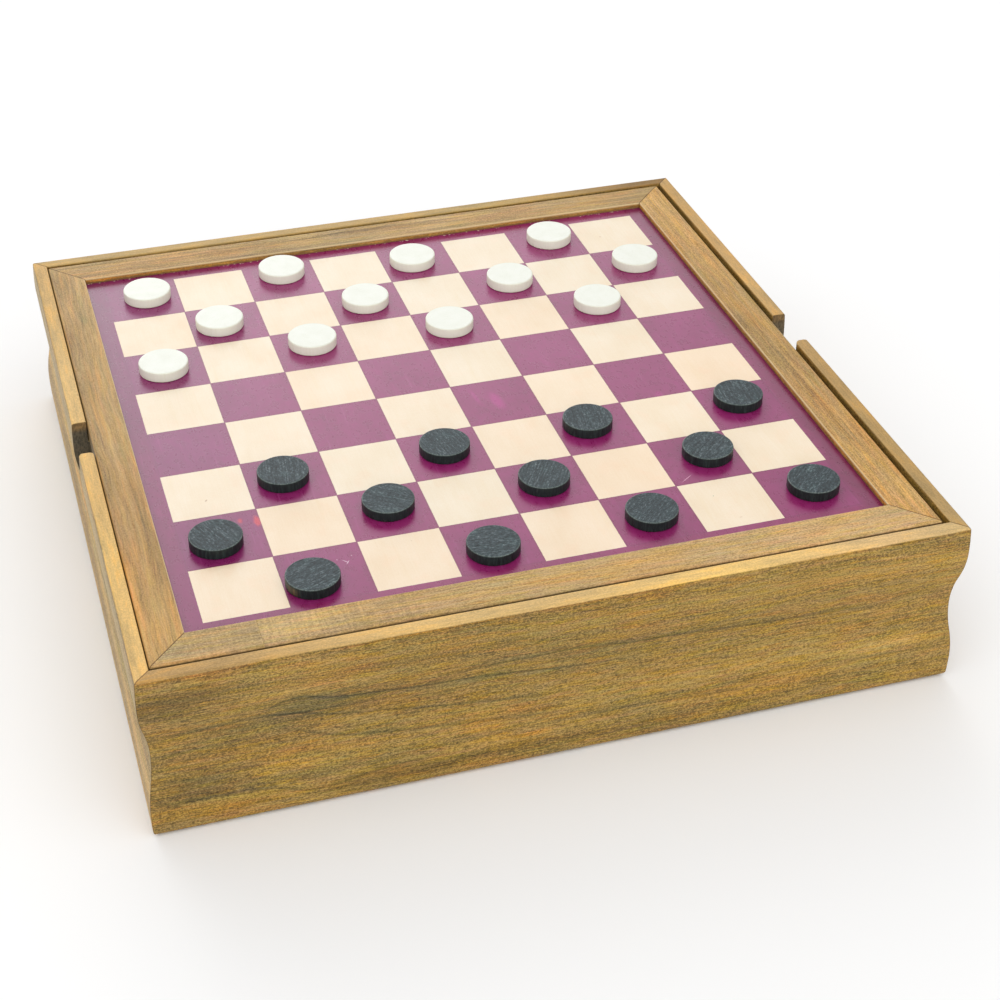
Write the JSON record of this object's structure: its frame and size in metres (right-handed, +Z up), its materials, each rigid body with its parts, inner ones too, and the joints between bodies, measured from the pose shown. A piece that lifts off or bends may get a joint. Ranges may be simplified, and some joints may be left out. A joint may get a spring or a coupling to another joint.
{
  "type": "games compendium box",
  "caption": "Square wooden games box with moulded sides, finger notches, a lift-out draughts board with loose draughtsmen, and divided storage for dominoes and dice.",
  "frame": {"origin": "centre of the base on the surface the box stands on", "axes": "+Z up; +X to the right seen from the front; the front wall faces -Y; the finger notches are in the walls at -X and +X"},
  "size_m": [0.3, 0.3, 0.0703],
  "materials": {
    "moulded_wall": "olive-brown stained pine, satin, with lengthwise streaks",
    "board_rail": "golden stained pine, satin",
    "stained_panel": "purple stained plywood with cream squares, satin varnish",
    "plywood": "bare plywood",
    "dark_draughtsman": "charcoal stained wood, sawn faces",
    "light_draughtsman": "ivory lacquered wood",
    "domino": "ivory plastic",
    "die": "ivory plastic"
  },
  "bodies": {
    "box": {"front_wall": "moulded_wall", "rear_wall": "moulded_wall", "left_wall": "moulded_wall", "right_wall": "moulded_wall", "base_panel": "plywood", "long_divider": "plywood", "cross_divider": "plywood"},
    "board": {"front_rail_short": "board_rail", "front_rail_long": "board_rail", "rear_rail": "board_rail", "left_rail": "board_rail", "right_rail": "board_rail", "playing_panel": "stained_panel"},
    "dark_draughtsman_01": {"dark_draughtsman_01": "dark_draughtsman"},
    "dark_draughtsman_02": {"dark_draughtsman_02": "dark_draughtsman"},
    "dark_draughtsman_03": {"dark_draughtsman_03": "dark_draughtsman"},
    "dark_draughtsman_04": {"dark_draughtsman_04": "dark_draughtsman"},
    "dark_draughtsman_05": {"dark_draughtsman_05": "dark_draughtsman"},
    "dark_draughtsman_06": {"dark_draughtsman_06": "dark_draughtsman"},
    "dark_draughtsman_07": {"dark_draughtsman_07": "dark_draughtsman"},
    "dark_draughtsman_08": {"dark_draughtsman_08": "dark_draughtsman"},
    "dark_draughtsman_09": {"dark_draughtsman_09": "dark_draughtsman"},
    "dark_draughtsman_10": {"dark_draughtsman_10": "dark_draughtsman"},
    "dark_draughtsman_11": {"dark_draughtsman_11": "dark_draughtsman"},
    "dark_draughtsman_12": {"dark_draughtsman_12": "dark_draughtsman"},
    "light_draughtsman_01": {"light_draughtsman_01": "light_draughtsman"},
    "light_draughtsman_02": {"light_draughtsman_02": "light_draughtsman"},
    "light_draughtsman_03": {"light_draughtsman_03": "light_draughtsman"},
    "light_draughtsman_04": {"light_draughtsman_04": "light_draughtsman"},
    "light_draughtsman_05": {"light_draughtsman_05": "light_draughtsman"},
    "light_draughtsman_06": {"light_draughtsman_06": "light_draughtsman"},
    "light_draughtsman_07": {"light_draughtsman_07": "light_draughtsman"},
    "light_draughtsman_08": {"light_draughtsman_08": "light_draughtsman"},
    "light_draughtsman_09": {"light_draughtsman_09": "light_draughtsman"},
    "light_draughtsman_10": {"light_draughtsman_10": "light_draughtsman"},
    "light_draughtsman_11": {"light_draughtsman_11": "light_draughtsman"},
    "light_draughtsman_12": {"light_draughtsman_12": "light_draughtsman"},
    "dominoes": {"dominoes": "domino"},
    "die_1": {"die_1": "die"},
    "die_2": {"die_2": "die"}
  },
  "joints": [
    {"name": "board_lift", "type": "slide", "parent": "box", "child": "board", "axis": [0, 0, 1], "range_m": [0, 0.1]},
    {"name": "dark_draughtsman_01_lift", "type": "slide", "parent": "board", "child": "dark_draughtsman_01", "axis": [0, 0, 1], "range_m": [0, 0.04]},
    {"name": "dark_draughtsman_02_lift", "type": "slide", "parent": "board", "child": "dark_draughtsman_02", "axis": [0, 0, 1], "range_m": [0, 0.04]},
    {"name": "dark_draughtsman_03_lift", "type": "slide", "parent": "board", "child": "dark_draughtsman_03", "axis": [0, 0, 1], "range_m": [0, 0.04]},
    {"name": "dark_draughtsman_04_lift", "type": "slide", "parent": "board", "child": "dark_draughtsman_04", "axis": [0, 0, 1], "range_m": [0, 0.04]},
    {"name": "dark_draughtsman_05_lift", "type": "slide", "parent": "board", "child": "dark_draughtsman_05", "axis": [0, 0, 1], "range_m": [0, 0.04]},
    {"name": "dark_draughtsman_06_lift", "type": "slide", "parent": "board", "child": "dark_draughtsman_06", "axis": [0, 0, 1], "range_m": [0, 0.04]},
    {"name": "dark_draughtsman_07_lift", "type": "slide", "parent": "board", "child": "dark_draughtsman_07", "axis": [0, 0, 1], "range_m": [0, 0.04]},
    {"name": "dark_draughtsman_08_lift", "type": "slide", "parent": "board", "child": "dark_draughtsman_08", "axis": [0, 0, 1], "range_m": [0, 0.04]},
    {"name": "dark_draughtsman_09_lift", "type": "slide", "parent": "board", "child": "dark_draughtsman_09", "axis": [0, 0, 1], "range_m": [0, 0.04]},
    {"name": "dark_draughtsman_10_lift", "type": "slide", "parent": "board", "child": "dark_draughtsman_10", "axis": [0, 0, 1], "range_m": [0, 0.04]},
    {"name": "dark_draughtsman_11_lift", "type": "slide", "parent": "board", "child": "dark_draughtsman_11", "axis": [0, 0, 1], "range_m": [0, 0.04]},
    {"name": "dark_draughtsman_12_lift", "type": "slide", "parent": "board", "child": "dark_draughtsman_12", "axis": [0, 0, 1], "range_m": [0, 0.04]},
    {"name": "light_draughtsman_01_lift", "type": "slide", "parent": "board", "child": "light_draughtsman_01", "axis": [0, 0, 1], "range_m": [0, 0.04]},
    {"name": "light_draughtsman_02_lift", "type": "slide", "parent": "board", "child": "light_draughtsman_02", "axis": [0, 0, 1], "range_m": [0, 0.04]},
    {"name": "light_draughtsman_03_lift", "type": "slide", "parent": "board", "child": "light_draughtsman_03", "axis": [0, 0, 1], "range_m": [0, 0.04]},
    {"name": "light_draughtsman_04_lift", "type": "slide", "parent": "board", "child": "light_draughtsman_04", "axis": [0, 0, 1], "range_m": [0, 0.04]},
    {"name": "light_draughtsman_05_lift", "type": "slide", "parent": "board", "child": "light_draughtsman_05", "axis": [0, 0, 1], "range_m": [0, 0.04]},
    {"name": "light_draughtsman_06_lift", "type": "slide", "parent": "board", "child": "light_draughtsman_06", "axis": [0, 0, 1], "range_m": [0, 0.04]},
    {"name": "light_draughtsman_07_lift", "type": "slide", "parent": "board", "child": "light_draughtsman_07", "axis": [0, 0, 1], "range_m": [0, 0.04]},
    {"name": "light_draughtsman_08_lift", "type": "slide", "parent": "board", "child": "light_draughtsman_08", "axis": [0, 0, 1], "range_m": [0, 0.04]},
    {"name": "light_draughtsman_09_lift", "type": "slide", "parent": "board", "child": "light_draughtsman_09", "axis": [0, 0, 1], "range_m": [0, 0.04]},
    {"name": "light_draughtsman_10_lift", "type": "slide", "parent": "board", "child": "light_draughtsman_10", "axis": [0, 0, 1], "range_m": [0, 0.04]},
    {"name": "light_draughtsman_11_lift", "type": "slide", "parent": "board", "child": "light_draughtsman_11", "axis": [0, 0, 1], "range_m": [0, 0.04]},
    {"name": "light_draughtsman_12_lift", "type": "slide", "parent": "board", "child": "light_draughtsman_12", "axis": [0, 0, 1], "range_m": [0, 0.04]},
    {"name": "dominoes_lift", "type": "slide", "parent": "box", "child": "dominoes", "axis": [0, 0, 1], "range_m": [0, 0.034]},
    {"name": "die_1_lift", "type": "slide", "parent": "box", "child": "die_1", "axis": [0, 0, 1], "range_m": [0, 0.036]},
    {"name": "die_2_lift", "type": "slide", "parent": "box", "child": "die_2", "axis": [0, 0, 1], "range_m": [0, 0.036]}
  ]
}
